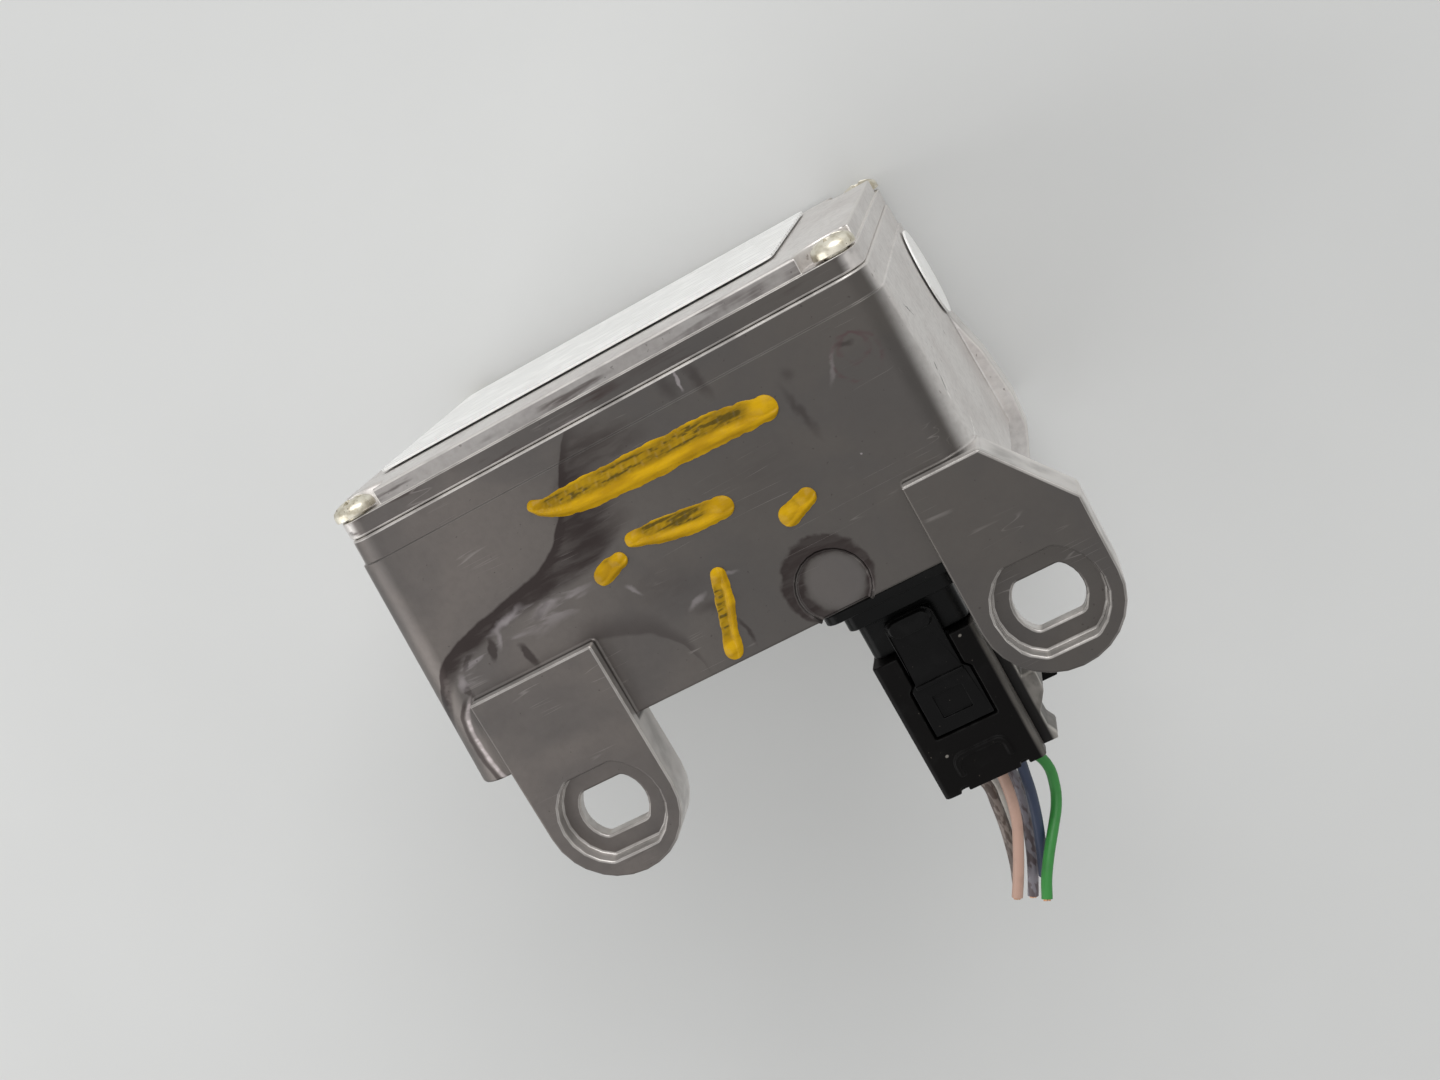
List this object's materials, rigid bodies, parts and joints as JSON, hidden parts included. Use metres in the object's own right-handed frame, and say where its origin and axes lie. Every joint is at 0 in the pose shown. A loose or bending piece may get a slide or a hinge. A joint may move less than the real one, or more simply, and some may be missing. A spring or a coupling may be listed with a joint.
{
  "type": "yaw rate sensor",
  "caption": "Boxy die-cast vehicle yaw rate sensor with a screwed lid, blank label, slotted bolt ears and a latched black plug with short cut wires.",
  "frame": {"origin": "middle of the flat back face, which the box lies on", "axes": "+X along the lid's edge towards the wide ear, +Y from the plug side to the lid, +Z out of the front face that carries the ears"},
  "size_m": [0.0827, 0.09, 0.067],
  "materials": {
    "cast_aluminium": "rough die-cast, stained and scratched",
    "lid_aluminium": "die-cast, worn",
    "gasket_rubber": "matte",
    "zinc_yellow": "yellow passivated zinc, dulled",
    "label_white": "blank film label",
    "sticker_white": "blank round sticker",
    "header_plastic": "fine satin",
    "seal_rubber": "matte",
    "pin_tin": "tin-plated",
    "board_green": "solder mask",
    "bright_zinc": "bright zinc",
    "sensor_can": "drawn sheet",
    "chip_black": "moulded",
    "crystal_can": "bright",
    "capacitor_can": "drawn",
    "plug_plastic": "satin, scuffed",
    "latch_plastic": "satin, scuffed",
    "lock_plastic": "satin, pale where scuffed",
    "contact_tin": "tin-plated",
    "cover_brown": "smooth cable cover",
    "cover_pink": "smooth cable cover",
    "cover_blue": "smooth cable cover",
    "cover_white": "smooth cable cover",
    "cover_grey": "smooth cable cover",
    "cover_green": "smooth cable cover"
  },
  "bodies": {
    "sensor": {"housing": "cast_aluminium", "lid": "lid_aluminium", "lid_gasket": "gasket_rubber", "lid_screw_1": "zinc_yellow", "lid_screw_2": "zinc_yellow", "lid_screw_3": "zinc_yellow", "lid_screw_4": "zinc_yellow", "label": "label_white", "inspection_sticker": "sticker_white", "connector_header": "header_plastic", "header_seal": "seal_rubber", "header_pin_1": "pin_tin", "header_pin_2": "pin_tin", "header_pin_3": "pin_tin", "header_pin_4": "pin_tin", "header_pin_5": "pin_tin", "header_pin_6": "pin_tin", "circuit_board": "board_green", "board_screw_1": "bright_zinc", "board_screw_2": "bright_zinc", "board_screw_3": "bright_zinc", "board_screw_4": "bright_zinc", "rate_sensor": "sensor_can", "accelerometer_chip": "chip_black", "processor_chip": "chip_black", "crystal": "crystal_can", "capacitor_1": "capacitor_can", "capacitor_2": "capacitor_can", "capacitor_3": "capacitor_can"},
    "plug": {"plug_housing": "plug_plastic", "terminal_1": "contact_tin", "terminal_2": "contact_tin", "terminal_3": "contact_tin", "terminal_4": "contact_tin", "terminal_5": "contact_tin", "terminal_6": "contact_tin", "wire_brown": "cover_brown", "wire_pink": "cover_pink", "wire_blue": "cover_blue", "wire_white": "cover_white", "wire_grey": "cover_grey", "wire_green": "cover_green"},
    "latch": {"plug_latch": "latch_plastic"},
    "lock": {"terminal_lock": "lock_plastic"}
  },
  "joints": [
    {"name": "plug_slide", "type": "slide", "parent": "sensor", "child": "plug", "axis": [0, -1, 0], "range_m": [0, 0.012]},
    {"name": "latch_hinge", "type": "hinge", "parent": "plug", "child": "latch", "pos_m": [0.0194, -0.03865, 0.0576], "axis": [1, 0, 0], "range_deg": [0, 8], "stiffness_Nm_per_rad": 0.02},
    {"name": "lock_slide", "type": "slide", "parent": "plug", "child": "lock", "axis": [0, -1, 0], "range_m": [0, 0.003]}
  ]
}
